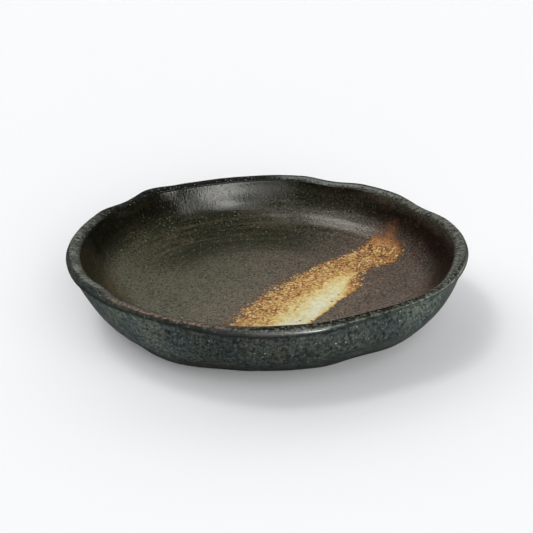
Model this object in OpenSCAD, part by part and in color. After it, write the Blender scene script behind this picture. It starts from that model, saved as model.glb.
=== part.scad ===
// Deep plate with a pinched rim, in glazed stoneware
// Millimetres, +Z up, origin at the middle of the foot's resting plane
// Plan angles run from +X towards +Y, and the stroke's broad end points to -Y

/* [Plate] */
// Diameter of the bare clay over the lip, before pinching
rim_d = 176.6; // [150:0.2:200]
// Height of the bare clay lip's ridge above the table
rim_z = 31.65; // [28:0.05:40]
// Diameter of the edge where the wall turns under
base_d = 151.4; // [130:0.2:164]
// Height of the edge where the wall turns under
base_z = 7.6; // [7:0.1:9]
// How far the wall bellies out from the straight line between lip and base
belly = 3.2; // [1.5:0.1:4]
// Underside of the clay, which is also the foot ring's height
under_z = 5.4; // [4.8:0.1:6]
// Top of the clay floor
floor_z = 10.65; // [10:0.05:12]
// Radius of the level part of the floor
floor_r = 48; // [40:1:52]

/* [Lip] */
// Width of the lip from its outer side to its inner edge
lip_w = 5.5; // [4.5:0.1:7]
// How far the lip's top falls from the ridge to the inner edge
lip_fall = 1.25; // [0.5:0.05:2]
// Distance of the ridge from the lip's outer side
ridge_in = 1.7; // [1.3:0.1:2.2]
// Depth below the ridge where the lip is widest
side_drop = 2.5; // [2:0.1:3]
// Depth below the ridge of the groove under the lip
groove_drop = 4.3; // [3.8:0.1:5]
// How far the groove lies inside the lip's outer side
groove_in = 1.5; // [1:0.1:2]
// Share of each pinch by which the lip also drops
rim_dip = 0.1; // [0:0.05:0.3]
// Height above the floor up to which a pinch leaves the wall alone
pinch_from = 5; // [3:0.5:7]

/* [Foot ring] */
// Outer diameter of the foot ring's resting face
foot_d = 103; // [96:0.5:106]
// Width of the foot ring's resting face
foot_w = 4.6; // [3.5:0.1:6]
// Sideways spread of each flank from the table up to the clay
foot_draft = 1.6; // [0.5:0.1:2]
// Bevel along both edges of the resting face
foot_bevel = 0.6; // [0.3:0.1:0.9]

/* [Glaze] */
// Thickness of the dark glaze coats
glaze_t = 0.35; // [0.3:0.05:0.5]
// Radius on the underside where the outer glaze stops
glaze_line_r = 57; // [56:0.5:62]
// Thickness of the pale stroke
stroke_t = 0.3; // [0.2:0.05:0.5]
// Plan direction of the stroke in degrees
stroke_turn = 57; // [0:1:359]

/* [Hidden] */
$fn = 96;
around = 90;
top_steps = 3;
shoulder_steps = 3;
under_steps = 2;
cove_steps = 8;
wall_steps = 4;
turn_steps = 2;

// Finger pinches: plan angle, inward depth in mm (negative where drawn out), half-width in degrees
pinches = [
    [1, -1.3, 27],
    [30, 2.5, 14],
    [67, 2.7, 11.5],
    [110, 2.0, 34],
    [131.5, -1.5, 9],
    [145, 2.3, 11.5],
    [198, -1.7, 38],
    [214.5, 1.7, 10],
    [276, 1.85, 13],
    [299, 5.4, 34]
];

// Stretches where the lip hangs lower: plan angle, drop in mm, half-width in degrees
drops = [
    [213, 0.95, 26],
    [240, 0.35, 24],
    [266, 0.7, 28],
    [284, 0.75, 19],
    [303, 0.85, 36]
];

// Stretches where the lip is thinner: plan angle, share taken off, half-width in degrees
thins = [
    [240, 0.28, 30],
    [312, 0.5, 42]
];

// Unevenness of the base edge: plan angle, inward depth in mm, half-width in degrees
waves = [
    [224, 0.9, 9],
    [239, -1.8, 10],
    [256, 0.6, 8],
    [300, 2.0, 14],
    [322, -2.0, 13]
];

// Stations of the pale stroke: distance along it, sideways offset, half-width
stroke_start = [3, -42];
stroke_stations = [
    [-31, -2, 6],
    [-28, -2, 11],
    [-20, -2, 13.5],
    [-8, -2.4, 15],
    [7, -3.6, 16.1],
    [33, -4.2, 16],
    [45, -3.4, 15.8],
    [56, -2.6, 14.8],
    [66, -2.4, 12.8],
    [76, -1, 11.8],
    [82, 1.2, 12.4],
    [89, 2.6, 11.4],
    [95, 2.8, 9.8],
    [101, 2, 7],
    [104, 1.5, 4]
];
stroke_steps = 45;
stroke_lanes = 8;

clay_color = [0.55, 0.45, 0.37];
dark_color = [0.16, 0.14, 0.12];
outer_color = [0.18, 0.21, 0.19];
pale_color = [0.85, 0.78, 0.55];

// Curves
function smooth(t) = let (c = min(max(t, 0), 1)) c * c * (3 - 2 * c);
function bump(t) = abs(t) < 1 ? 0.5 + 0.5 * cos(180 * t) : 0;
function turned(a, b) = (a - b + 540) % 360 - 180;
function total(v) = v * [for (x = v) 1];
function hills(list, a) = total([for (h = list) h[1] * bump(turned(a, h[0]) / h[2])]);
function bezier(p, n) = [
    for (i = [0 : n])
        let (t = i / n, u = 1 - t)
        u * u * u * p[0] + 3 * u * u * t * p[1] + 3 * u * t * t * p[2] + t * t * t * p[3]
];
function part_of(list, first, last) = [for (i = [first : last]) list[i]];
function reversed(list) = [for (i = [len(list) - 1 : -1 : 0]) list[i]];

// Clay section from the middle of the floor, over the lip, to the glaze line under the base
lip_in = [rim_d / 2 - lip_w, rim_z - lip_fall];
ridge = [rim_d / 2 - ridge_in, rim_z];
side = [rim_d / 2, rim_z - side_drop];
lip_out = [rim_d / 2 - groove_in, rim_z - groove_drop];
top_curve = bezier([lip_in, lip_in + [1.1, 0.62], ridge + [-1.3, -0.04], ridge], top_steps);
shoulder_curve = bezier([ridge, ridge + [0.85, -0.2], side + [0, 1.1], side], shoulder_steps);
under_curve = bezier([side, side - [0, 1], lip_out + [0.7, 0.6], lip_out], under_steps);
floor_edge = [floor_r, floor_z];
cove_curve = bezier([floor_edge, floor_edge + [20, 0.1], lip_in - [5.4, 11.2], lip_in], cove_steps);
base_edge = [base_d / 2, base_z];
wall_run = base_edge - lip_out;
wall_out = [-wall_run[1], wall_run[0]] / norm(wall_run);
wall_curve = bezier([
    lip_out,
    lip_out + wall_run / 3 + wall_out * (belly - 1),
    lip_out + wall_run * 2 / 3 + wall_out * belly,
    base_edge
], wall_steps);
turn_curve = bezier([
    base_edge,
    base_edge + [-0.6, -1.4],
    [base_edge[0] - 2.2, under_z],
    [base_edge[0] - 5, under_z]
], turn_steps);
clay_line = concat(
    [[0, floor_z]],
    cove_curve,
    part_of(top_curve, 1, top_steps),
    part_of(shoulder_curve, 1, shoulder_steps),
    part_of(under_curve, 1, under_steps),
    part_of(wall_curve, 1, wall_steps),
    part_of(turn_curve, 1, turn_steps),
    [[glaze_line_r, under_z]]
);
last = len(clay_line) - 1;
// The two dark glazes meet at the lip's inner edge
meet = 1 + cove_steps;

// Glaze surface, one coat outside the clay section
function along(i) = clay_line[min(i + 1, last)] - clay_line[max(i - 1, 0)];
glaze_line = [
    for (i = [0 : last])
        let (d = along(i))
        clay_line[i] + glaze_t * [-d[1], d[0]] / norm(d)
];

// Thinning draws the lip towards its top outer corner, pinching moves the section more
// the higher it lies, waves shift the base edge, and the floor stays level
high_r = rim_d / 2 + glaze_t;
high_z = rim_z + glaze_t;
low_z = floor_z + glaze_t + pinch_from;
function press(z) = smooth((z - low_z) / (high_z - low_z));
function dip(a) = rim_dip * hills(pinches, a) + hills(drops, a);
function sway(p, a) = hills(waves, a) * smooth((13 - p[1]) / 6) * smooth((p[0] - 58) / 14);
function shaped(p, a) =
    let (
        keep = 1 - hills(thins, a) * (1 - smooth((high_z - p[1] - groove_drop) / 6)),
        z = high_z - (high_z - p[1]) * keep,
        k = press(z),
        r = high_r - (high_r - p[0]) * keep - k * hills(pinches, a) - sway(p, a)
    )
    [r * cos(a), r * sin(a), z - k * dip(a)];

function ring(p) = [for (j = [0 : around - 1]) shaped(p, 360 * j / around)];
function band(i, k) = [
    for (j = [0 : around - 1])
        let (n = (j + 1) % around, a = i * around, b = k * around)
        each [[a + j, b + j, b + n], [a + j, b + n, a + n]]
];

// Closed solid around the axis from a section that starts and ends on the axis
module capped_form(section) {
    n = len(section) - 2;
    top = n * around;
    low = top - around;
    points = concat(
        [for (i = [1 : n]) each ring(section[i])],
        [[0, 0, section[0][1]], [0, 0, section[n + 1][1]]]
    );
    faces = concat(
        [for (i = [0 : n - 2]) each band(i, i + 1)],
        [for (j = [0 : around - 1]) [top, j, (j + 1) % around]],
        [for (j = [0 : around - 1]) [top + 1, low + (j + 1) % around, low + j]]
    );
    polyhedron(points, faces);
}

// Closed ring around the axis from a section that never touches it
module ring_form(section) {
    n = len(section);
    points = [for (p = section) each ring(p)];
    faces = [for (i = [0 : n - 1]) each band(i, (i + 1) % n)];
    polyhedron(points, faces);
}

// Height of the inner glaze at a plan point
inner_top = part_of(glaze_line, 0, cove_steps);
function inner_height(p) =
    let (
        a = atan2(p[1], p[0]),
        r = norm(p),
        first = lookup(r, inner_top),
        second = lookup(r + press(first) * hills(pinches, a) + sway([r, first], a), inner_top)
    )
    second - press(second) * dip(a);

function stroke_offset(s) = lookup(s, [for (q = stroke_stations) [q[0], q[1]]]);
function stroke_half(s) = lookup(s, [for (q = stroke_stations) [q[0], q[2]]]);
function stroke_point(s, side) =
    let (w = stroke_offset(s) + side * stroke_half(s))
    stroke_start + s * [cos(stroke_turn), sin(stroke_turn)] + w * [sin(stroke_turn), -cos(stroke_turn)];
stroke_first = stroke_stations[0][0];
stroke_length = stroke_stations[len(stroke_stations) - 1][0] - stroke_first;

// Thrown dish: floor, wall and rolled lip in one piece of clay
module clay_body() {
    color(clay_color) capped_form(concat(clay_line, [[0, under_z]]));
}

// Foot ring luted under the floor, bare clay
module foot_ring() {
    r_out = foot_d / 2;
    r_in = r_out - foot_w;
    color(clay_color)
    rotate_extrude()
    polygon([
        [r_in, 0],
        [r_out, 0],
        [r_out + foot_bevel, foot_bevel],
        [r_out + foot_draft, under_z],
        [r_in - foot_draft, under_z],
        [r_in - foot_bevel, foot_bevel]
    ]);
}

// Brown-black glaze over floor and inner wall, up to the lip's inner edge
module inner_glaze() {
    section = concat(part_of(glaze_line, 0, meet), reversed(part_of(clay_line, 0, meet)));
    color(dark_color) capped_form(section);
}

// Green-black glaze over lip, outer wall and the turn under the base
module outer_glaze() {
    section = concat(part_of(glaze_line, meet, last), reversed(part_of(clay_line, meet, last)));
    color(outer_color) ring_form(section);
}

// Glaze on the underside within the foot ring
module well_glaze() {
    color(outer_color)
    translate([0, 0, under_z - glaze_t])
    cylinder(h = glaze_t, r = foot_d / 2 - foot_w - foot_draft);
}

// Pale stroke laid across floor and cove on top of the inner glaze
module accent_stroke() {
    rows = stroke_steps + 1;
    lanes = stroke_lanes + 1;
    count = rows * lanes;
    flat = [
        for (i = [0 : stroke_steps], j = [0 : stroke_lanes])
            stroke_point(stroke_first + stroke_length * i / stroke_steps, 2 * j / stroke_lanes - 1)
    ];
    lower = [for (p = flat) [p[0], p[1], inner_height(p)]];
    upper = [for (p = lower) p + [0, 0, stroke_t]];
    border = concat(
        [for (j = [0 : stroke_lanes - 1]) j],
        [for (i = [0 : stroke_steps - 1]) i * lanes + stroke_lanes],
        [for (j = [0 : stroke_lanes - 1]) count - 1 - j],
        [for (i = [0 : stroke_steps - 1]) (stroke_steps - i) * lanes]
    );
    faces = concat(
        [for (i = [0 : stroke_steps - 1], j = [0 : stroke_lanes - 1])
            let (a = i * lanes + j)
            each [[a, a + 1, a + lanes + 1], [a, a + lanes + 1, a + lanes]]],
        [for (i = [0 : stroke_steps - 1], j = [0 : stroke_lanes - 1])
            let (a = count + i * lanes + j)
            each [[a, a + lanes + 1, a + 1], [a, a + lanes, a + lanes + 1]]],
        [for (i = [0 : len(border) - 1])
            let (a = border[i], b = border[(i + 1) % len(border)])
            each [[a, a + count, b + count], [a, b + count, b]]]
    );
    color(pale_color) polyhedron(concat(lower, upper), faces);
}

clay_body();
foot_ring();
inner_glaze();
outer_glaze();
well_glaze();
accent_stroke();
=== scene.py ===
import math

import bmesh
import bpy
from mathutils import Matrix, Vector, noise
from mathutils.bvhtree import BVHTree


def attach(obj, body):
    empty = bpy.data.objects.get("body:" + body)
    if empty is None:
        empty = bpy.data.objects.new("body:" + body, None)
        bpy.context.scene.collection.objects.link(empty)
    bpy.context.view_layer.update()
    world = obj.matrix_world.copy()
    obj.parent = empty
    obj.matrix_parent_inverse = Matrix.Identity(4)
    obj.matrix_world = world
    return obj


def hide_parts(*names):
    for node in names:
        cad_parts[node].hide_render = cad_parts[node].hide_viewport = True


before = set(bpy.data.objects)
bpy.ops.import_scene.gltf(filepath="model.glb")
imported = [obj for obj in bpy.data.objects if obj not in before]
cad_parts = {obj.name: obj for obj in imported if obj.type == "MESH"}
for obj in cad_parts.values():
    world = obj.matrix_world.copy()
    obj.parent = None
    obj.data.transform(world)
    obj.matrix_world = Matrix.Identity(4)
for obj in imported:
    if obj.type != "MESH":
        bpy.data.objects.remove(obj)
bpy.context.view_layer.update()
mm = 0.001
print("frame loaded:", sorted(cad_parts))

# Form of the plate, in millimetres and degrees

plateForm = {
    "rimD": 176.6,          # bare clay over the lip, before pinching
    "rimZ": 31.65,
    "baseD": 151.4,         # edge where the wall turns under
    "baseZ": 7.6,
    "belly": 3.2,
    "underZ": 5.4,
    "floorZ": 10.65,
    "floorR": 48.0,         # level part of the floor
    "lipW": 5.5,            # lip from its inner edge to its widest
    "lipFall": 1.25,        # fall of the lip's top towards the inside
    "ridgeIn": 1.7,         # ridge of the lip, in from its widest
    "sideDrop": 2.5,        # widest part and groove, down from the ridge
    "grooveIn": 1.5,
    "grooveDrop": 4.3,
    "glazeT": 0.35,
    "glazeLineR": 57.0,     # end of the outer glaze on the underside
    "rimDip": 0.1,          # sinking of the lip for each millimetre of pinch
    "pinchFrom": 5.0,       # height above the floor up to which a pinch leaves the wall alone
    "nipRise": 9.0,         # a nip sets in this much higher than a pinch
    "stillR": 40.0,         # within this radius the floor keeps its form
    "thinReach": 6.0,       # a thinned lip has its full width again this far below the groove
    "flatHalf": 3.2,        # half-width of a flat on the ridge
    "flatDrop": (2.2, 1.0), # a flat sets in and is full this far below the ridge
    # heights and radii at which a wave or a sag of the base edge sets in and is full
    "waveZ": (13, 7),
    "waveR": (58, 72),
    "sagZ": (18, 7),
    "sagR": (57, 69),
    "dentR": 60.0,          # dents are outside this radius
    "stepsAround": 480,
    # how many steps each part of the section is drawn in
    "counts": {
        "floor": 60, "cove": 66, "top": 16, "shoulder": 14, "groove": 12,
        "wall": 44, "turn": 10, "under": 12,
    },
    # finger marks: plan angle, depth (of thins the share), half-width in degrees
    # pinches and nips press the wall in, drops lower the lip, thins make it thinner,
    # flats take off its ridge, waves press the base edge in, and sags lower it;
    # a depth below zero goes the other way, here and for dents
    "pinches": [(1, -1.3, 27), (110, 2.0, 34), (198, -1.7, 38), (276, 1.2, 13), (299, 5.4, 34)],
    "nips": [(30, 2.5, 14), (67, 2.7, 11.5), (131.5, -1.5, 9), (145, 2.3, 11.5), (214.5, 1.7, 10)],
    "drops": [(213, 0.95, 26), (240, 0.35, 24), (266, 0.7, 28), (284, 0.75, 19), (303, 0.85, 36)],
    "thins": [(240, 0.28, 30), (312, 0.5, 42)],
    "waves": [(224, 0.9, 9), (239, -0.5, 10), (256, 0.6, 8), (300, 1.7, 14), (322, -0.5, 13)],
    "sags": [(236, 1.8, 36)],
    "flats": [(294, 0.75, 48)],
    # dents in the wall: plan angle, height, depth, half-width in degrees, half-height
    "dents": [(216, 20, 0.8, 5, 8), (225, 17, 0.6, 4.5, 8), (232, 22, 0.35, 6, 6), (318, 20, 0.4, 5, 4),
              (101, 16.5, -2.2, 21, 9.5)],
}


def smoothStep(t):
    t = min(max(t, 0.0), 1.0)
    return t * t * (3 - 2 * t)


# Rises from 0 at the start to 1 at the end, which may lie below the start
def ramp(value, start, end):
    return smoothStep((value - start) / (end - start))


def hill(t):
    return 0.5 + 0.5 * math.cos(math.pi * t) if abs(t) < 1 else 0.0


def bezier(a, b, c, d, n):
    pts = []
    for i in range(n + 1):
        t = i / n
        u = 1 - t
        pts.append(a * u ** 3 + b * (3 * u * u * t) + c * (3 * u * t * t) + d * t ** 3)
    return pts


# Lip from its inner edge over the ridge and the widest part to the groove below it
def lipSection():
    f = plateForm
    n = f["counts"]
    widest = f["rimD"] / 2
    edge = Vector((widest - f["lipW"], f["rimZ"] - f["lipFall"]))
    ridge = Vector((widest - f["ridgeIn"], f["rimZ"]))
    side = Vector((widest, f["rimZ"] - f["sideDrop"]))
    groove = Vector((widest - f["grooveIn"], f["rimZ"] - f["grooveDrop"]))
    top = bezier(edge, edge + Vector((1.1, 0.62)), ridge + Vector((-1.3, -0.04)), ridge, n["top"])
    shoulder = bezier(ridge, ridge + Vector((0.85, -0.2)), side + Vector((0, 1.1)), side, n["shoulder"])
    under = bezier(side, side + Vector((0, -1.0)), groove + Vector((0.7, 0.6)), groove, n["groove"])
    return top + shoulder[1:] + under[1:]


# Clay section from the middle of the floor to the inner edge of the lip
def innerSection():
    f = plateForm
    n = f["counts"]
    edge = Vector((f["floorR"], f["floorZ"]))
    lip = lipSection()[0]
    floor = [Vector((f["floorR"] * i / n["floor"], f["floorZ"])) for i in range(n["floor"])]
    cove = bezier(edge, edge + Vector((20, 0.1)), lip + Vector((-5.4, -11.2)), lip, n["cove"])
    return floor + cove


# The rest of the section, over the lip and down to the glaze line under the base
def outerSection():
    f = plateForm
    n = f["counts"]
    lip = lipSection()[-1]
    edge = Vector((f["baseD"] / 2, f["baseZ"]))
    run = edge - lip
    out = Vector((-run.y, run.x)).normalized()
    upper = lip + run / 3 + out * (f["belly"] - 1)
    lower = lip + run * 2 / 3 + out * f["belly"]
    wall = bezier(lip, upper, lower, edge, n["wall"])
    level = Vector((edge.x - 5, f["underZ"]))
    turn = bezier(edge, edge + Vector((-0.6, -1.4)), level + Vector((2.8, 0)), level, n["turn"])
    end = Vector((f["glazeLineR"], f["underZ"]))
    under = [level.lerp(end, (i + 1) / n["under"]) for i in range(n["under"])]
    return lipSection() + wall[1:] + turn[1:] + under


# One coat of glaze outside a clay section
def coated(section, thickness):
    pts = []
    for i, p in enumerate(section):
        d = section[min(i + 1, len(section) - 1)] - section[max(i - 1, 0)]
        pts.append(p + Vector((-d.y, d.x)).normalized() * thickness)
    return pts


def thinned(section, step):
    return section[:-1:step] + section[-1:]


def turnBetween(a, b):
    return (a - b + 180) % 360 - 180


def hills(table, angle):
    return sum(deep * hill(turnBetween(angle, at) / half) for at, deep, half in table)


# Turns a section (radius, height in millimetres) about the upright axis.
# One sector is spun and then doubled up; the section's first points, topCount of them, are the outer skin
def turned(section, steps, closed=False, topCount=0, sectors=16):
    bm = bmesh.new()
    skin = bm.verts.layers.float.new("skin")
    verts = [bm.verts.new((p.x * mm, 0, p.y * mm)) for p in section]
    for v in verts[:topCount]:
        v[skin] = 1.0
    edges = [bm.edges.new(pair) for pair in zip(verts, verts[1:])]
    if closed:
        edges.append(bm.edges.new((verts[-1], verts[0])))
    span = 2 * math.pi / sectors
    bmesh.ops.spin(bm, geom=verts + edges, axis=(0, 0, 1), cent=(0, 0, 0),
                   angle=span, steps=steps // sectors)
    while span < 2 * math.pi - 0.01:
        copy = bmesh.ops.duplicate(bm, geom=bm.verts[:] + bm.edges[:] + bm.faces[:])["geom"]
        copied = [g for g in copy if isinstance(g, bmesh.types.BMVert)]
        bmesh.ops.rotate(bm, verts=copied, cent=(0, 0, 0), matrix=Matrix.Rotation(span, 3, "Z"))
        span *= 2
    bmesh.ops.remove_doubles(bm, verts=bm.verts, dist=1e-6)
    bmesh.ops.recalc_face_normals(bm, faces=bm.faces)
    return bm


# Moves a turned form's points the way the potter's fingers did; each point keeps its place on the wheel
def pressForm(bm):
    f = plateForm
    restZ = bm.verts.layers.float.new("restZ")
    restR = bm.verts.layers.float.new("restR")
    topR, topZ = f["rimD"] / 2 + f["glazeT"], f["rimZ"] + f["glazeT"]
    lowZ = f["floorZ"] + f["glazeT"] + f["pinchFrom"]
    grooveZ = topZ - f["grooveDrop"]
    flatFrom, flatFull = [topZ - drop for drop in f["flatDrop"]]
    kinds = ("pinches", "nips", "drops", "thins", "waves", "sags", "flats")
    marks = {}
    for v in bm.verts:
        x, y, z = v.co / mm
        r = math.hypot(x, y)
        v[restZ] = z
        v[restR] = r
        if r < f["stillR"]:
            continue
        angle = round(math.degrees(math.atan2(y, x)), 3)
        if angle not in marks:
            marks[angle] = [hills(f[kind], angle) for kind in kinds]
        pinch, nip, drop, thin, wave, sag, flat = marks[angle]
        near = thin * (1 - ramp(z, grooveZ, grooveZ - f["thinReach"]))
        newR = topR - (topR - r) * (1 - near)
        newZ = topZ - (topZ - z) * (1 - near)
        newZ -= flat * hill((r - topR + f["ridgeIn"]) / f["flatHalf"]) * ramp(z, flatFrom, flatFull)
        share = ramp(newZ, lowZ, topZ)
        newR -= share * pinch + ramp(newZ, lowZ + f["nipRise"], topZ) * nip
        newZ -= share * (f["rimDip"] * (pinch + nip) + drop)
        newR -= wave * ramp(z, *f["waveZ"]) * ramp(r, *f["waveR"])
        newZ -= sag * ramp(z, *f["sagZ"]) * ramp(r, *f["sagR"])
        if r > f["dentR"]:
            for at, high, deep, half, tall in f["dents"]:
                newR -= deep * hill(turnBetween(angle, at) / half) * hill((z - high) / tall)
        v.co = Vector((x * newR / r, y * newR / r, newZ)) * mm


def finishPiece(bm, name, material, node):
    mesh = bpy.data.meshes.new(name)
    bm.normal_update()
    bm.to_mesh(mesh)
    bm.free()
    mesh.polygons.foreach_set("use_smooth", [True] * len(mesh.polygons))
    piece = bpy.data.objects.new(name, mesh)
    bpy.context.scene.collection.objects.link(piece)
    mesh.materials.append(material)
    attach(piece, "root")
    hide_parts(node)
    print("made", name, "with", len(mesh.polygons), "faces")


# Shader maths: one class wraps an output socket

class Wire:
    def __init__(self, tree, socket=None):
        self.tree = tree
        self.socket = socket

    def node(self, kind, settings, inputs, out=0):
        made = self.tree.nodes.new(kind)
        for key, value in settings.items():
            if key == "stops":
                setStops(made.color_ramp, value)
            else:
                setattr(made, key, value)
        for key, value in inputs.items():
            if isinstance(value, Wire):
                self.tree.links.new(value.socket, made.inputs[key])
            else:
                made.inputs[key].default_value = value
        return Wire(self.tree, made.outputs[out])

    def maths(self, operation, a, b):
        return self.node("ShaderNodeMath", {"operation": operation}, {0: a, 1: b})

    def __add__(self, other):
        return self.maths("ADD", self, other)

    def __radd__(self, other):
        return self.maths("ADD", other, self)

    def __sub__(self, other):
        return self.maths("SUBTRACT", self, other)

    def __rsub__(self, other):
        return self.maths("SUBTRACT", other, self)

    def __mul__(self, other):
        return self.maths("MULTIPLY", self, other)

    def __rmul__(self, other):
        return self.maths("MULTIPLY", other, self)

    def __truediv__(self, other):
        return self.maths("DIVIDE", self, other)

    def __lt__(self, other):
        return self.maths("LESS_THAN", self, other)


def setStops(colourRamp, stops):
    while len(colourRamp.elements) < len(stops):
        colourRamp.elements.new(0.5)
    for element, (at, colour) in zip(colourRamp.elements, stops):
        element.position = at
        element.color = colour if isinstance(colour, tuple) else (colour, colour, colour, 1)


# Colour as a screen shows it, 0 to 255 each
def paint(red, green, blue):
    parts = [c / 255 for c in (red, green, blue)]
    return tuple(c / 12.92 if c <= 0.04045 else ((c + 0.055) / 1.055) ** 2.4 for c in parts) + (1,)


def smooth(value, low, high):
    inputs = {"Value": value, "From Min": low, "From Max": high, "To Min": 0, "To Max": 1}
    return value.node("ShaderNodeMapRange", {"interpolation_type": "SMOOTHSTEP"}, inputs)


def curve(value, stops):
    return value.node("ShaderNodeValToRGB", {"stops": stops}, {0: value})


def mixed(share, a, b):
    return share.node("ShaderNodeMix", {"data_type": "RGBA"}, {0: share, 6: a, 7: b}, 2)


def shaded(colour, value):
    grey = value.node("ShaderNodeCombineColor", {}, {0: value, 1: value, 2: value})
    settings = {"data_type": "RGBA", "blend_type": "MULTIPLY"}
    return value.node("ShaderNodeMix", settings, {0: 1.0, 6: colour, 7: grey}, 2)


def moved(place, seed):
    offset = (seed * 37.3, seed * 91.7, seed * 53.1)
    return place.node("ShaderNodeVectorMath", {"operation": "ADD"}, {0: place, 1: offset})


def cloud(place, cell, detail=2.0, rough=0.5, seed=0.0):
    inputs = {"Vector": moved(place, seed), "Scale": 1 / cell, "Detail": detail, "Roughness": rough}
    return place.node("ShaderNodeTexNoise", {"noise_dimensions": "3D"}, inputs)


# Round spots: one possible spot per cell, kept in a share of the cells
def spots(place, cell, size, share, seed=0.0):
    inputs = {"Vector": moved(place, seed + 0.5), "Scale": 1 / cell, "Randomness": 1.0}
    near = place.node("ShaderNodeTexVoronoi", {}, inputs, "Distance")
    tint = Wire(near.tree, near.socket.node.outputs["Color"])
    chance = near.node("ShaderNodeSeparateColor", {}, {0: tint})
    return smooth(near, size / cell, size / cell * 0.5) * (chance < share)


# Object coordinates in millimetres, whole and in parts, and a point's place on the wheel
class Place:
    def __init__(self, tree):
        start = Wire(tree)
        metres = start.node("ShaderNodeTexCoord", {}, {}, "Object")
        inputs = {0: metres, "Scale": 1 / mm}
        self.all = start.node("ShaderNodeVectorMath", {"operation": "SCALE"}, inputs)
        parts = [start.node("ShaderNodeSeparateXYZ", {}, {0: self.all}, i) for i in range(3)]
        self.x, self.y, self.z = parts
        flat = self.vector(self.x, self.y, 0.0)
        self.r = start.node("ShaderNodeVectorMath", {"operation": "LENGTH"}, {0: flat}, 1)
        self.ux = self.x / self.r
        self.uy = self.y / self.r
        restZ = start.node("ShaderNodeAttribute", {"attribute_name": "restZ"}, {}, "Fac")
        restR = start.node("ShaderNodeAttribute", {"attribute_name": "restR"}, {}, "Fac")
        self.drop = plateForm["rimZ"] + plateForm["glazeT"] - restZ         # below the ridge of the lip
        self.inset = plateForm["rimD"] / 2 + plateForm["glazeT"] - restR    # in from its widest

    def vector(self, a, b, c):
        return Wire(self.x.tree).node("ShaderNodeCombineXYZ", {}, {0: a, 1: b, 2: c})

    # Coordinates for marks that run round the axis, at their true length in mid-floor
    def rings(self, across, around, midFloor=40):
        turn = midFloor / around
        return self.vector(self.r / across, self.ux * turn, self.uy * turn + self.z / across)

    # Coordinates for marks that run across the lip
    def spokes(self, around, across, lipR=88):
        turn = lipR / around
        return self.vector(self.ux * turn, self.uy * turn, self.r / across + self.z / across)

    # How far a point lies towards a plan angle, -1 to 1
    def towards(self, angle):
        turn = math.radians(angle)
        return self.ux * math.cos(turn) + self.uy * math.sin(turn)

    # A zone round a plan angle, which sets in at low and is full at high, ragged if asked for
    def zone(self, sector, ragged=None):
        angle, low, high = sector
        towards = self.towards(angle)
        return smooth(towards if ragged is None else towards + ragged, low, high)


def newMaterial(name, diffuse):
    material = bpy.data.materials.new(name)
    material.use_nodes = True
    material.diffuse_color = diffuse
    return material, material.node_tree.nodes["Principled BSDF"]


def plug(value, shader, socket):
    value.tree.links.new(value.socket, shader.inputs[socket])


def bumped(shader, height, strength, distance):
    inputs = {"Strength": strength, "Distance": distance * mm, "Height": height}
    plug(height.node("ShaderNodeBump", {}, inputs), shader, "Normal")


# Pale stroke: a band across the floor, in its own coordinates along and across

strokeForm = {
    "start": (3.0, -42.0),
    "turn": 57.0,
    # distance along, sideways offset, half-width
    "stations": [
        (-31, -2, 6), (-28, -2, 11), (-20, -2, 13.5), (-8, -2.4, 15), (7, -3.6, 16.1),
        (33, -4.2, 16), (45, -3.4, 15.8), (56, -2.6, 14.8), (66, -2.4, 12.8), (76, -1.0, 11.8),
        (82, 1.2, 12.4), (89, 2.6, 11.4), (95, 2.8, 9.8), (101, 2, 7), (104, 1.5, 4),
    ],
    "leastHalf": 9,             # the look gets no narrower than this half-width
    # where along the stroke a change sets in and is full
    "nearEnd": (-46, -24),
    "loose": (44, 64),          # the right edge breaks up
    "fade": (50, 70),           # cream gives way to rust
    "gap": (54, 62),            # thin place on the right, before the head
    "head": (72, 80),
    "grainEnd": (98, 88),
    "farEnd": (115, 93),
    "sprayNear": (-30, -5),
    "sprayFar": (100, 60),
    # where across the stroke, in half-widths
    "leftEdge": (-1.14, -0.78),
    "sprayEdge": (0.98, 1.06),
    "sprayEnd": (2.2, 1.1),
    # thickness from the left edge to the right
    "levels": [
        (-1.0, 0.3), (-0.8, 0.37), (-0.5, 0.45), (-0.2, 0.45), (0.0, 0.55), (0.25, 0.7),
        (0.5, 0.88), (0.75, 0.97), (0.92, 0.9), (1.02, 0.5), (1.1, 0.36),
    ],
    "fadeLevel": 0.38,
    # colours from thin to thick
    "tones": [
        (0.0, paint(58, 36, 20)), (0.2, paint(92, 58, 30)), (0.34, paint(150, 98, 48)),
        (0.46, paint(186, 134, 72)), (0.6, paint(213, 181, 105)), (0.75, paint(227, 208, 141)),
        (0.88, paint(230, 222, 176)), (1.0, paint(232, 232, 206)),
    ],
    "pinhole": paint(56, 38, 22),
    "pore": paint(98, 62, 30),
    "curd": paint(200, 174, 98),
    "fleck": paint(238, 212, 150),
    "spray": paint(160, 122, 82),
}


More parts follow.
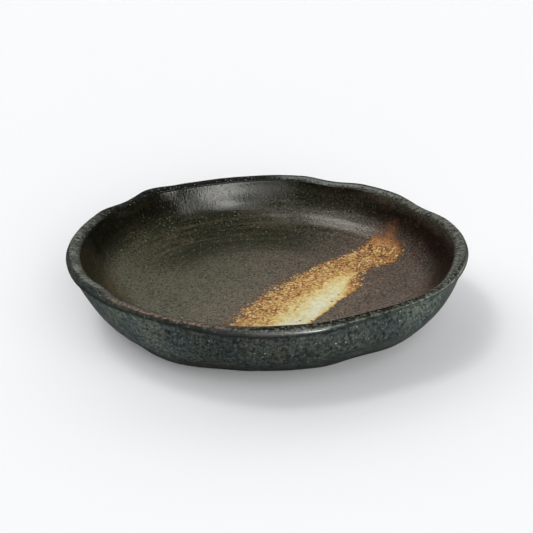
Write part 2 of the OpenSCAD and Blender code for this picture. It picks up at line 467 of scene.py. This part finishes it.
def strokeMasks(place):
    f = strokeForm
    c, s = math.cos(math.radians(f["turn"])), math.sin(math.radians(f["turn"]))
    px, py = f["start"]
    along = (place.x - px) * c + (place.y - py) * s
    across = (place.x - px) * s - (place.y - py) * c
    first, last = f["stations"][0][0], f["stations"][-1][0]
    t = (along - first) / (last - first)
    at = [((q[0] - first) / (last - first), q) for q in f["stations"]]
    span = 20       # a colour ramp holds 0 to 1, so offsets and half-widths are scaled to it
    shift = curve(t, [(p, (q[1] + span / 2) / span) for p, q in at]) * span - span / 2
    half = curve(t, [(p, max(q[2], f["leastHalf"]) / span) for p, q in at]) * span
    side = (across - shift) / half
    wavy = cloud(place.all, 9.0, 3.0, 0.55, 3.0) - 0.5
    rough = cloud(place.all, 1.8, 2.0, 0.6, 5.0) - 0.5
    grain = smooth(cloud(place.all, 0.9, 1.0, 0.5, 7.0), 0.34, 0.66) - 0.5
    # outline, ragged on all sides
    left = smooth(side + wavy * 0.2 + rough * 0.5 + grain * 0.2, *f["leftEdge"])
    loose = smooth(along, *f["loose"])
    head = smooth(along, *f["head"])
    limit = 1.0 - loose * 0.24 + head * 0.14
    torn = wavy * 0.08 + rough * (0.2 + loose * 0.7) + grain * 0.06
    right = 1 - smooth(side + torn - limit, 0, 0.08 + loose * 0.34)
    slant = smooth(side, 0, 1.1) * 10
    far = smooth(along + slant + wavy * 14 + rough * 26 + grain * 10, *f["farEnd"])
    near = smooth(along + wavy * 10, *f["nearEnd"])
    edge = left * right * far * near
    # thickness
    low, high = f["levels"][0][0], f["levels"][-1][0]
    stops = [((p - low) / (high - low), v) for p, v in f["levels"]]
    level = curve((side + wavy * 0.2 + rough * 0.35 - low) / (high - low), stops)
    fade = smooth(along + smooth(side, 0.3, 0.9) * 18 + wavy * 20 + rough * 14, *f["fade"])
    gap = smooth(side, 0.5, 0.85) * smooth(along, *f["gap"]) * (1 - head)
    mottle = cloud(place.all, 4.0, 2.0, 0.5, 9.0) - 0.5
    level = level + (f["fadeLevel"] - level) * fade - gap * 0.22 + wavy * 0.12 + mottle * 0.3
    pale = smooth(level, 0.6, 0.9)
    crumbs = (grain * 0.24 + rough * 0.55) * (1 - pale * 0.5) * smooth(edge, 0.02, 0.4)
    return {
        "along": along,
        "side": side,
        "edge": edge,
        "pale": pale,
        "thick": edge * level + crumbs,
        "grains": place.vector(along * 0.55, across, 0.0),      # drawn out along the stroke
    }


def strokeColour(base, place, m):
    f = strokeForm
    tone = curve(m["thick"], f["tones"])
    colour = mixed(smooth(m["thick"], 0.08, 0.34), base, tone)
    body = smooth(m["edge"], 0.4, 0.8)
    rust = body * (1 - m["pale"] * 0.8) * smooth(m["along"], *f["grainEnd"])
    colour = mixed(rust * spots(m["grains"], 1.25, 0.6, 0.6, 11.0) * 0.8, colour, f["fleck"])
    colour = mixed(rust * spots(m["grains"], 1.25, 0.5, 0.26, 8.0) * 0.65, colour, f["pore"])
    curd = smooth(cloud(m["grains"], 2.0, 3.0, 0.65, 17.0), 0.42, 0.68)
    colour = mixed(body * m["pale"] * curd * 0.5, colour, f["curd"])
    colour = mixed(body * spots(place.all, 4.6, 0.8, 0.45, 2.0) * 0.85, colour, f["pinhole"])
    # spray on the bare floor along the right edge
    beside = smooth(m["side"], *f["sprayEdge"]) * smooth(m["side"], *f["sprayEnd"])
    beside = beside * smooth(m["along"], *f["sprayFar"]) * smooth(m["along"], *f["sprayNear"])
    return mixed(beside * spots(place.all, 1.7, 0.62, 0.6, 16.0) * 0.85, colour, f["spray"])


# Brown-black glaze of the inside

innerLook = {
    "taupe": paint(90, 82, 70),
    "cool": paint(78, 77, 61),
    "plum": paint(88, 76, 67),
    "band": paint(44, 45, 33),
    "brown": paint(66, 60, 46),
    "olive": paint(17, 16, 8),
    "red": paint(26, 15, 8),
    "amber": paint(64, 48, 22),
    "haze": paint(64, 58, 49),
    "veil": paint(50, 49, 39),
    "speck": paint(150, 138, 116),
    "ash": paint(205, 200, 182),
    "roughness": 0.14,
    # zones: plan angle, and how far towards it (-1 to 1) a zone sets in and is full
    "backZone": (108, 0.35, 1.0),
    "amberZone": (216, 0.78, 0.96),
    "hazeZone": (24, 0.8, 0.97),
    "veilZone": (70, 0.9, 0.98),
    # radii at which they set in and are full
    "backR": (30, 46),
    "amberR": (60, 72),
    "wallR": (68, 79),
    # drops below the ridge of the lip
    "hazeDrop": (7.0, 1.6),
    "veilDrop": (15, 12),
    "veilEnd": (2, 6),
}


def insideGlaze(name):
    look = innerLook
    material, shader = newMaterial(name, look["taupe"])
    place = Place(material.node_tree)
    broad = cloud(place.all, 30.0, 3.0, 0.5)
    patch = cloud(place.all, 7.0, 3.0, 0.6, 1.0)
    grain = smooth(cloud(place.all, 1.2, 3.0, 0.7, 2.0), 0.3, 0.7)
    dust = smooth(cloud(place.all, 0.9, 2.0, 0.6, 14.0), 0.36, 0.64)
    streak = cloud(place.rings(2.4, 20.0), 1.0, 3.0, 0.6) - 0.5
    drift = (broad - 0.5) * 40
    # floor, lighter towards the front, with streaks at the back
    floorTone = mixed(smooth(place.x - place.y * 0.5 + drift, -45, 5), look["cool"], look["taupe"])
    floorTone = mixed(smooth(place.x + drift * 0.5, 20, 50), floorTone, look["plum"])
    floorTone = shaded(floorTone, 1.34 - smooth(place.y, -50, 40) * 0.41)
    back = place.zone(look["backZone"], (broad - 0.5) * 0.3)
    back = back * smooth(place.r + drift * 0.12 + streak * 14, *look["backR"])
    tone = mixed(back, floorTone, mixed(smooth(streak, -0.05, 0.25), look["band"], look["brown"]))
    # wall
    wallTone = mixed(smooth(place.x + drift, 20, 75), look["olive"], look["red"])
    wall = smooth(place.r + drift * 0.12 + (patch - 0.5) * 5, *look["wallR"])
    amber = place.zone(look["amberZone"], (broad - 0.5) * 0.4)
    glow = amber * smooth(place.r + (patch - 0.5) * 8, *look["amberR"])
    tone = mixed(glow * 0.7, tone, look["amber"])
    tone = mixed(wall * (1 - amber * 0.4), tone, wallTone)
    haze = place.zone(look["hazeZone"]) * smooth(place.drop - (patch - 0.5) * 3, *look["hazeDrop"])
    tone = mixed(haze * 0.8, tone, look["haze"])
    veil = smooth(place.drop, *look["veilDrop"]) * smooth(place.drop, *look["veilEnd"])
    tone = mixed(veil * place.zone(look["veilZone"]) * 0.35, tone, look["veil"])
    tone = mixed(wall * smooth(patch + streak * 0.4, 0.5, 0.75) * 0.3, tone, look["band"])
    # grain and specks over both
    tone = shaded(tone, 0.1 + grain * 0.7 + dust * 0.8 + patch * 0.3 + streak * (0.5 + back * 0.6))
    fine = spots(place.all, 1.6, 0.48, 0.4, 6.0)
    specks = fine * (0.3 + smooth(place.x, 10, 50) * 0.35 + back * 0.1) * (1 - wall * 0.85)
    tone = mixed(specks, tone, look["speck"])
    ash = spots(place.all, 4.5, 0.45, 0.25, 4.0)
    tone = mixed(ash * (0.5 - wall * 0.42), tone, look["ash"])
    masks = strokeMasks(place)
    plug(strokeColour(tone, place, masks), shader, "Base Color")
    gloss = look["roughness"] + (patch - 0.5) * 0.1 + (grain - 0.5) * 0.12
    plug(gloss + smooth(masks["thick"], 0.2, 0.4) * 0.2, shader, "Roughness")
    bumped(shader, grain * 0.5 + dust * 0.45 + patch * 0.4 + streak * 0.3 - fine * 0.8, 0.5, 0.12)
    return material


# Green-black glaze of lip and outside

outerLook = {
    "green": paint(44, 49, 43),
    "blue": paint(35, 41, 41),
    "black": paint(9, 11, 9),
    "lip": paint(84, 86, 78),
    # colour of a painted sheen on the shoulder
    "shoulderSheen": paint(122, 126, 112),
    # colour of a painted highlight along the lip at the back right
    "line": paint(150, 154, 146),
    "darkLip": paint(18, 21, 17),
    "rust": paint(130, 104, 86),
    "crest": paint(92, 96, 84),
    "speck": paint(116, 120, 96),
    "ash": paint(190, 190, 176),
    "roughness": 0.4,
    "coatRoughness": 0.06,
    "coatIor": 1.5,
    # zones: plan angle, and how far towards it (-1 to 1) a zone sets in and is full
    # painted sheen at the left and right of the wall, painted shade at its front
    "sheenLeft": (212, 0.75, 1.0),
    "sheenRight": (335, 0.85, 0.99),
    "shadeFront": (262, 0.9, 0.99),
    # lip grey at the sides: partly worn glaze, partly painted reflection
    "greySheenLeft": (189, 0.8, 0.96),
    "greySheenRight": (4, 0.6, 0.9),
    "narrow": (212, 0.88, 0.97),
    "glintZone": (64, 0.88, 0.97),
    "pitted": (312, 0.72, 0.9),
    "rustGlint": (243, 0.9, 0.965),
    "blackRidge": (304, 0.6, 0.82),
    "wet": (296, 0.925, 0.98),
    "baseShadeZ": (7, 12),           # painted shade: the wall darkens towards the base
    # bands of the lip, in millimetres below its ridge and in from its widest: sets in, full
    "lipDrop": (1.9, 1.2),
    "lipInset": (1.05, 1.75),
    "shoulderDrop": (4.4, 3.2),
    "shoulderInset": (1.75, 0.95),
    "upperDrop": (2.1, 1.4),
    "upperInset": (3.65, 2.65),
    "lowerShadeDrop": (1.4, 2.4),
    "glintInset": (5.75, 4.45),
    "glintEnd": (2.65, 4.05),
    "innerInset": (4.25, 5.75),
    "crestDrop": (0.8, 0.4),
    "crestInset": (4.25, 3.25),
    "ridgeDrop": (1.2, 0.8),
    "ridgeInset": (4.65, 3.65),
    "pitDrop": (2.4, 1.6),
    "wetDrop": (2.6, 2.2),
    "wetEnd": (0.6, 1.0),
    "wetInset": (2.05, 1.45),
}


def outsideGlaze(name):
    look = outerLook
    material, shader = newMaterial(name, look["green"])
    place = Place(material.node_tree)
    broad = cloud(place.all, 16.0, 3.0, 0.55)
    patch = cloud(place.all, 6.0, 3.0, 0.6, 1.0)
    uneven = patch - 0.5
    grain = smooth(cloud(place.all, 1.7, 3.0, 0.7, 2.0), 0.36, 0.64)
    dust = smooth(cloud(place.all, 1.2, 2.0, 0.6, 14.0), 0.4, 0.6)
    brush = cloud(place.vector(place.ux * 7, place.uy * 7, place.z / 2.2), 1.0, 3.0, 0.6)
    fine = spots(place.all, 1.5, 0.5, 0.4, 6.0)
    dark = spots(place.all, 1.8, 0.6, 0.45, 15.0)
    # wall, brushed in green and blue, with painted sheen at the left and right and painted shade at the
    # front
    tone = mixed(smooth(broad + (brush - 0.5) * 0.7, 0.38, 0.62), look["green"], look["blue"])
    tone = mixed(smooth(patch + (brush - 0.5) * 0.5, 0.52, 0.72) * 0.3, tone, look["black"])
    # painted highlight on the dents at the left, painted sheen at the right, painted shade at the front
    light = place.zone(look["sheenLeft"], (brush - 0.5) * 0.4) * 1.3
    light = light + place.zone(look["sheenRight"]) * 1.5 - place.zone(look["shadeFront"]) * 0.18
    # painted shade: darker towards the base
    baseShade = 0.5 + smooth(place.z, *look["baseShadeZ"]) * 0.5
    tone = shaded(tone, (0.18 + grain * 0.95 + dust * 1.05 + brush * 0.24) * (1 + light) * baseShade)
    tone = mixed(dark * 0.6, tone, look["black"])
    # top of the lip, wrinkled, grey at both sides (partly worn glaze, partly painted reflection) and
    # black along its inner edge
    inset = place.inset - place.zone(look["narrow"]) * 0.55
    lip = smooth(place.drop - uneven * 0.6, *look["lipDrop"]) * smooth(inset, *look["lipInset"])
    greySheenLeft = place.zone(look["greySheenLeft"], (broad - 0.5) * 0.2)
    greySheenRight = place.zone(look["greySheenRight"], (broad - 0.5) * 0.2)
    lipTone = mixed(greySheenLeft + greySheenRight, look["darkLip"], look["lip"])
    wrinkle = cloud(place.spokes(1.4, 10.0), 1.0, 2.0, 0.6)
    lipTone = shaded(lipTone, smooth(wrinkle, 0.4, 0.6) * 1.2 + grain * 0.5 + dust * 0.4)
    lipTone = mixed(dark * 0.7, lipTone, look["black"])
    # painted highlight: a pale line along the lip at the back right
    line = smooth(place.inset - (grain - 0.5) * 0.8, *look["glintInset"])
    line = line * smooth(place.inset, *look["glintEnd"]) * place.zone(look["glintZone"], uneven * 0.1)
    lipTone = mixed(line * 0.55, lipTone, look["line"])
    inner = smooth(place.inset - uneven * 2.8 - (grain - 0.5) * 1.4, *look["innerInset"])
    lipTone = mixed(inner * 0.75, lipTone, look["black"])
    tone = mixed(lip * 0.9, tone, lipTone)
    # shoulder of the lip: painted shade, dark under the lip's overhang, and a painted sheen, paler at the
    # near right
    shoulder = smooth(inset, *look["shoulderInset"]) * smooth(place.drop, *look["shoulderDrop"])
    front = place.zone(look["pitted"])
    # painted shade under the lip's overhang, darkest on the lower shoulder
    tone = mixed(shoulder * (0.6 - front * 0.42), tone, look["darkLip"])
    lower = smooth(place.drop - uneven * 0.8, *look["lowerShadeDrop"]) * shoulder
    tone = mixed(lower * (0.62 - front * 0.54), tone, look["black"])
    # painted sheen on the upper shoulder at the near right
    upper = smooth(place.drop - uneven * 0.6, *look["upperDrop"])
    upper = upper * smooth(place.inset, *look["upperInset"])
    sheenTone = shaded(look["shoulderSheen"], 0.2 + grain * 0.8 + dust * 0.6)
    tone = mixed(upper * front * 0.92, tone, sheenTone)
    # ridge: rust colour at the near left, partly a painted highlight along it; black and crumbly at the
    # near right
    crest = smooth(place.drop - uneven * 0.5, *look["crestDrop"])
    crest = crest * smooth(place.inset, *look["crestInset"]) * place.zone(look["rustGlint"])
    broken = smooth(cloud(place.all, 1.6, 2.0, 0.6, 12.0), 0.4, 0.6)
    tone = mixed(crest * (0.1 + broken * 0.65), tone, look["rust"])
    ridge = smooth(place.drop - uneven * 0.5, *look["ridgeDrop"])
    ridge = ridge * smooth(place.inset, *look["ridgeInset"]) * place.zone(look["blackRidge"])
    crumb = smooth(cloud(place.all, 1.7, 3.0, 0.6, 9.0), 0.53, 0.6)
    tone = mixed(ridge * (0.86 - crumb * 0.5), tone, look["black"])
    tone = mixed(ridge * crumb * 0.5, tone, look["crest"])
    pit = spots(place.all, 1.6, 0.6, 0.4, 18.0) * smooth(place.drop, *look["pitDrop"])
    tone = mixed(pit * front * 0.8, tone, look["black"])
    # specks over all
    tone = mixed(fine * (0.35 + lip * 0.3), tone, look["speck"])
    ash = spots(place.all, 4.5, 0.45, 0.25, 4.0)
    tone = mixed(ash * 0.45, tone, look["ash"])
    plug(tone, shader, "Base Color")
    # a wet-looking run of glaze on the near shoulder
    wet = smooth(place.drop, *look["wetDrop"]) * smooth(place.drop, *look["wetEnd"])
    wet = wet * smooth(place.inset, *look["wetInset"]) * place.zone(look["wet"])
    gloss = uneven * 0.2 + (grain - 0.5) * 0.16 - wet * 0.3 - lip * 0.2
    plug(look["roughness"] + gloss, shader, "Roughness")
    plug(wet, shader, "Coat Weight")
    shader.inputs["Coat Roughness"].default_value = look["coatRoughness"]
    shader.inputs["Coat IOR"].default_value = look["coatIor"]
    height = grain * 0.5 + dust * 0.4 + patch * 0.6 + brush * 0.6 + wrinkle * lip * 1.3
    bumped(shader, height * (1 - shoulder * 0.4 - wet * 0.55), 0.6, 0.12)
    return material


# Bare fired clay of the underside

clayLook = {
    "clay": paint(142, 112, 88),
    "toast": paint(118, 82, 60),
    "grog": paint(86, 68, 56),
    "pale": paint(178, 152, 124),
    "roughness": 0.85,
}


def bareClay(name):
    look = clayLook
    material, shader = newMaterial(name, look["clay"])
    place = Place(material.node_tree)
    broad = cloud(place.all, 18.0, 3.0, 0.55)
    grain = cloud(place.all, 0.7, 3.0, 0.65, 2.0)
    rings = cloud(place.rings(1.2, 30.0), 1.0, 2.0, 0.5)
    tone = mixed(smooth(broad, 0.4, 0.65), look["clay"], look["toast"])
    tone = shaded(tone, 0.7 + grain * 0.4 + rings * 0.2)
    grog = spots(place.all, 1.8, 0.6, 0.5)
    tone = mixed(grog * 0.7, tone, look["grog"])
    tone = mixed(spots(place.all, 2.6, 0.5, 0.5, 5.0) * 0.6, tone, look["pale"])
    plug(tone, shader, "Base Color")
    shader.inputs["Roughness"].default_value = look["roughness"]
    bumped(shader, grain * 0.8 + rings * 0.5 + grog * 0.4, 0.7, 0.15)
    return material


# Pieces

insideSkin = insideGlaze("insideGlaze")
outsideSkin = outsideGlaze("outsideGlaze")
clay = bareClay("bareClay")
print("materials made")

inner = innerSection()
outer = outerSection()
innerTop = coated(inner, plateForm["glazeT"])
outerTop = coated(outer, plateForm["glazeT"])
innerTop[-1] = outerTop[0]
steps = plateForm["stepsAround"]

# Relief of the surfaces, in millimetres

reliefForm = {
    "fromSeam": (0.5, 3.5),     # distance from the seam of the glazes at which relief sets in and is full
    "ring": 0.035,              # throwing rings of the floor, with their distance and where they set in
    "ringGap": 5.2,
    "ringR": (4, 12),
    "step": 0.12,               # shallow groove round the floor
    "stepR": 39.5,
    "stepSway": 1.5,
    "stepHalf": 2.4,
    "inside": 0.14,             # soft unevenness of the inner wall
    "insideCell": 11,
    "insideR": (45, 65),
    "outside": 0.12,            # of the outer wall, in two sizes
    "outsideCell": 13,
    "fine": 0.05,
    "fineCell": 4,
    "outsideR": 50,
    "brush": 0.07,              # brush marks round the outer wall
    "brushTurn": 5,
    "brushHigh": 2.4,
    "sunk": 0.14,               # depth of the outside, so that no hill stands out of the form
    "hidden": 0.3,              # depth of clay that glaze hides
}


# Low hills and hollows along the normals; both glazes lie level where they meet at the lip
def ripple(bm, height):
    layers = bm.verts.layers.float
    skin, restZ, restR = layers["skin"], layers["restZ"], layers["restR"]
    bm.normal_update()
    shifts = []
    for v in bm.verts:
        seam = math.hypot(v[restR] - outerTop[0].x, v[restZ] - outerTop[0].y)
        side = 1 if v[skin] > 0.5 else -1
        level = ramp(seam, *reliefForm["fromSeam"])
        shifts.append(v.normal * (side * level * height(v.co / mm) * mm))
    for v, shift in zip(bm.verts, shifts):
        v.co += shift


# Throwing rings of the floor and soft unevenness of the wall
def insideRelief(p):
    f = reliefForm
    r = math.hypot(p.x, p.y)
    turn = math.atan2(p.y, p.x) / (2 * math.pi)
    rings = f["ring"] * math.sin(2 * math.pi * (r / f["ringGap"] + turn)) * ramp(r, *f["ringR"])
    stepR = f["stepR"] + f["stepSway"] * math.sin(2 * math.pi * turn)
    step = -f["step"] * hill((r - stepR) / f["stepHalf"])
    return rings + step + f["inside"] * noise.noise(p / f["insideCell"]) * ramp(r, *f["insideR"])


def outsideRelief(p):
    f = reliefForm
    r = math.hypot(p.x, p.y)
    if r < f["outsideR"]:
        return 0.0
    turn = f["brushTurn"] / r
    brush = f["brush"] * noise.noise(Vector((p.x * turn, p.y * turn, p.z / f["brushHigh"])))
    soft = f["outside"] * noise.noise(p / f["outsideCell"]) + f["fine"] * noise.noise(p / f["fineCell"])
    return brush + soft - f["sunk"]


# The clay lies a little deeper wherever glaze hides it
def hiddenClay(p):
    bare = p.z <= plateForm["underZ"] + 0.2 and math.hypot(p.x, p.y) <= plateForm["glazeLineR"] + 0.5
    return 0.0 if bare else -reliefForm["hidden"]


section = thinned(inner, 2) + outer[1::2]
bm = turned(section + [Vector((0, plateForm["underZ"]))], steps // 2, topCount=len(section))
pressForm(bm)
ripple(bm, hiddenClay)
finishPiece(bm, "clayBody", clay, "clay_body")

bm = turned(innerTop + thinned(inner, 4)[::-1], steps, topCount=len(innerTop))
pressForm(bm)
ripple(bm, insideRelief)
insideTree = BVHTree.FromBMesh(bm)
finishPiece(bm, "innerGlaze", insideSkin, "inner_glaze")

bm = turned(outerTop + thinned(outer, 4)[::-1], steps, closed=True, topCount=len(outerTop))
pressForm(bm)
ripple(bm, outsideRelief)
finishPiece(bm, "outerGlaze", outsideSkin, "outer_glaze")

# Foot ring and the glaze within it

footForm = {
    "outerD": 103.0,
    "width": 4.6,
    "draft": 1.6,           # the ring widens by this on each side, up to the base
    "bevel": 0.6,
    "flatSteps": 6,         # points on each flat of the section
    "wellRings": 20,
}


def footSection():
    f = footForm
    rOut = f["outerD"] / 2
    rIn = rOut - f["width"]
    top = plateForm["underZ"]
    corners = [(rIn - f["draft"], top), (rIn - f["bevel"], f["bevel"]), (rIn, 0), (rOut, 0)]
    corners += [(rOut + f["bevel"], f["bevel"]), (rOut + f["draft"], top)]
    pts = []
    for a, b in zip(corners, corners[1:] + corners[:1]):
        pts += [Vector(a).lerp(Vector(b), i / f["flatSteps"]) for i in range(f["flatSteps"])]
    return pts


bm = turned(footSection(), steps // 2, closed=True)
finishPiece(bm, "footRing", clay, "foot_ring")

wellR = footForm["outerD"] / 2 - footForm["width"] - footForm["draft"]
wellRings = footForm["wellRings"]
wellTop = [Vector((wellR * i / wellRings, plateForm["underZ"])) for i in range(wellRings + 1)]
wellFace = [p - Vector((0, plateForm["glazeT"])) for p in reversed(wellTop)]
bm = turned(wellTop + wellFace, steps // 2)
finishPiece(bm, "wellGlaze", outsideSkin, "well_glaze")

# Stroke, a thin pad laid on the inner glaze with its border just under the surface

padForm = {
    "rows": 150,
    "lanes": 44,
    "spread": 1.2,              # the pad is wider than the stroke by this factor
    "border": 0.4,              # the relief rises over this share of the half-width
    "endBorder": 0.08,          # and over this share of the half-length
    "sunk": 0.04,
    "relief": 0.24,
    "edgeRelief": 0.35,         # share of the relief beside the cream
    "creamSide": (-0.4, 0.3),   # across and along, where the cream sets in and is full
    "creamEnd": (66, 42),
    "thick": 0.3,
    "castFrom": 60,             # height from which the glaze is looked for
}


def stationValue(s, column):
    table = strokeForm["stations"]
    for a, b in zip(table, table[1:]):
        if a[0] <= s <= b[0]:
            return a[column] + (b[column] - a[column]) * (s - a[0]) / (b[0] - a[0])
    return table[-1][column]


def strokePad():
    f = padForm
    bm = bmesh.new()
    bmesh.ops.create_grid(bm, x_segments=f["rows"], y_segments=f["lanes"], size=1)
    c, s = math.cos(math.radians(strokeForm["turn"])), math.sin(math.radians(strokeForm["turn"]))
    px, py = strokeForm["start"]
    first, last = strokeForm["stations"][0][0], strokeForm["stations"][-1][0]
    for v in bm.verts:
        along = first + (last - first) * (v.co.x + 1) / 2
        side = v.co.y
        across = stationValue(along, 1) + side * stationValue(along, 2) * f["spread"]
        x = px + along * c + across * s
        y = py + along * s - across * c
        inside = smoothStep(min((1 - abs(side)) / f["border"], (1 - abs(v.co.x)) / f["endBorder"]))
        cream = ramp(side, *f["creamSide"]) * ramp(along, *f["creamEnd"])
        raised = f["relief"] * inside * (f["edgeRelief"] + (1 - f["edgeRelief"]) * cream)
        top = insideTree.ray_cast(Vector((x, y, f["castFrom"])) * mm, Vector((0, 0, -1)))[0]
        v.co = top + Vector((0, 0, raised - f["sunk"])) * mm
    bmesh.ops.recalc_face_normals(bm, faces=bm.faces)
    if sum(face.normal.z for face in bm.faces) < 0:
        bmesh.ops.reverse_faces(bm, faces=bm.faces)
    bmesh.ops.solidify(bm, geom=bm.faces[:], thickness=f["thick"] * mm)
    return bm


finishPiece(strokePad(), "accentStroke", insideSkin, "accent_stroke")

# Floor, light and camera

studio = {
    "aim": (-0.54, 0, 18.6),        # millimetres
    "distance": 540,
    "elevation": 24.12,
    "lens": 80.24,
    "keyFrom": (-0.42, 0.2, 0.885),
    "keyStrength": 0.43,
    "keyAngle": 14,
    # soft light on everything: an even part and lobes (from, strength, outer and inner angle)
    "skyGlow": 0.02,
    "skyLobes": [
        ((0.16, -0.97, 0.2), 7.8, 30, 5), ((0.66, -0.7, 0.25), 0.7, 30, 5),
        ((0.5, -0.5, 0.7), 1.15, 40, 10), ((0, 0.9, 0.44), 1.65, 32, 5),
        ((-0.64, 0.64, 0.42), 1.17, 32, 5), ((0.64, 0.64, 0.42), 0.75, 32, 5),
        ((-0.5, 0.4, 0.77), 0.79, 40, 10), ((-0.64, 0, 0.77), 0.77, 40, 10),
    ],
    # what the glaze mirrors: the room, the backdrop by height and where it sets in and is full,
    # and softboxes in the sky seen from above (strength, low corner, high corner, soft edge)
    "roomGlow": 0.02,
    "backdropGlow": [(0.0, 0.5), (0.2, 0.28), (0.41, 0.13), (0.6, 0.03), (1.0, 0.0)],
    "backdropFar": (0.1, 0.7),
    "backdropSide": (0.16, 0.06),   # square of the sideways part
    "boxes": [
        (1.7, (-0.08, -0.88), (0.58, -0.1), 0.05), (3.0, (0.38, -0.85), (0.6, -0.25), 0.08),
        (5.0, (0.25, -0.74), (0.5, -0.62), 0.04), (8.0, (0.5, -0.82), (0.6, -0.6), 0.04),
        (3.0, (0.56, -0.52), (0.66, -0.34), 0.05),
        (0.4, (-0.56, -0.13), (-0.13, 0.48), 0.05), (5.0, (-0.38, 0.07), (-0.22, 0.26), 0.06),
        (4.0, (-0.26, 0.06), (-0.14, 0.17), 0.03), (14.0, (-0.42, 0.26), (-0.29, 0.39), 0.05),
    ],
    "softTint": (0.985, 0.99, 1.0, 1),
    "mirrorTint": (1.0, 1.0, 0.94, 1),
    "floorColour": (0.9, 0.9, 0.905, 1),
    "floorMirrored": (0.12, 0.12, 0.12, 1),
    "floorHalf": 4,                 # metres
}


def addSun(name, fromDir, strength, angle):
    lamp = bpy.data.lights.new(name, "SUN")
    lamp.energy = strength
    lamp.angle = math.radians(angle)
    sun = bpy.data.objects.new(name, lamp)
    sun.rotation_euler = Vector(fromDir).to_track_quat("Z", "Y").to_euler()
    sun.visible_glossy = False
    bpy.context.scene.collection.objects.link(sun)


addSun("keySun", studio["keyFrom"], studio["keyStrength"], studio["keyAngle"])

bm = bmesh.new()
bmesh.ops.create_grid(bm, x_segments=1, y_segments=1, size=studio["floorHalf"])
mesh = bpy.data.meshes.new("floor")
bm.to_mesh(mesh)
bm.free()
floor = bpy.data.objects.new("floor", mesh)
bpy.context.scene.collection.objects.link(floor)
paper, paperShader = newMaterial("paper", studio["floorColour"])
paperGlossy = Wire(paper.node_tree).node("ShaderNodeLightPath", {}, {}, "Is Glossy Ray")
plug(mixed(paperGlossy, studio["floorColour"], studio["floorMirrored"]), paperShader, "Base Color")
paperShader.inputs["Roughness"].default_value = 1.0
paperShader.inputs["Specular IOR Level"].default_value = 0.0
mesh.materials.append(paper)

world = bpy.data.worlds.new("studio")
bpy.context.scene.world = world
world.use_nodes = True
sky = Wire(world.node_tree)
aimed = sky.node("ShaderNodeTexCoord", {}, {}, "Generated")
skyX, skyY, skyZ = [sky.node("ShaderNodeSeparateXYZ", {}, {0: aimed}, i) for i in range(3)]
backdrop = curve(skyZ, studio["backdropGlow"]) * smooth(skyY, *studio["backdropFar"])
backdrop = backdrop * smooth(skyX * skyX, *studio["backdropSide"])


def skyLobe(fromDir, outerEdge, innerEdge):
    inputs = {0: aimed, 1: Vector(fromDir).normalized()}
    facing = sky.node("ShaderNodeVectorMath", {"operation": "DOT_PRODUCT"}, inputs, 1)
    return smooth(facing, math.cos(math.radians(outerEdge)), math.cos(math.radians(innerEdge)))


# One side of a softbox, from low to high
def skyBand(part, low, high, blur):
    return smooth(part, low - blur, low + blur) * smooth(part, high + blur, high - blur)


mirrored = studio["roomGlow"] + backdrop
for strength, low, high, blur in studio["boxes"]:
    box = skyBand(skyX, low[0], high[0], blur) * skyBand(skyY, low[1], high[1], blur)
    mirrored = mirrored + box * strength
soft = studio["skyGlow"]
for fromDir, strength, outerEdge, innerEdge in studio["skyLobes"]:
    soft = soft + skyLobe(fromDir, outerEdge, innerEdge) * strength
glossy = sky.node("ShaderNodeLightPath", {}, {}, "Is Glossy Ray")
glow = glossy * mirrored + (1 - glossy) * soft
background = world.node_tree.nodes["Background"]
tinted = shaded(mixed(glossy, studio["softTint"], studio["mirrorTint"]), glow)
world.node_tree.links.new(tinted.socket, background.inputs["Color"])
background.inputs["Strength"].default_value = 1.0

camera = bpy.data.cameras.new("camera")
camera.lens = studio["lens"]
camera.sensor_width = 36
camera.clip_end = 50
view = bpy.data.objects.new("camera", camera)
tilt = math.radians(studio["elevation"])
away = Vector((0, -math.cos(tilt), math.sin(tilt)))
view.location = (Vector(studio["aim"]) + studio["distance"] * away) * mm
view.rotation_euler = (math.pi / 2 - tilt, 0, 0)
bpy.context.scene.collection.objects.link(view)
bpy.context.scene.camera = view
print("stage, lights and camera set")

bpy.context.scene.view_settings.view_transform = "Standard"
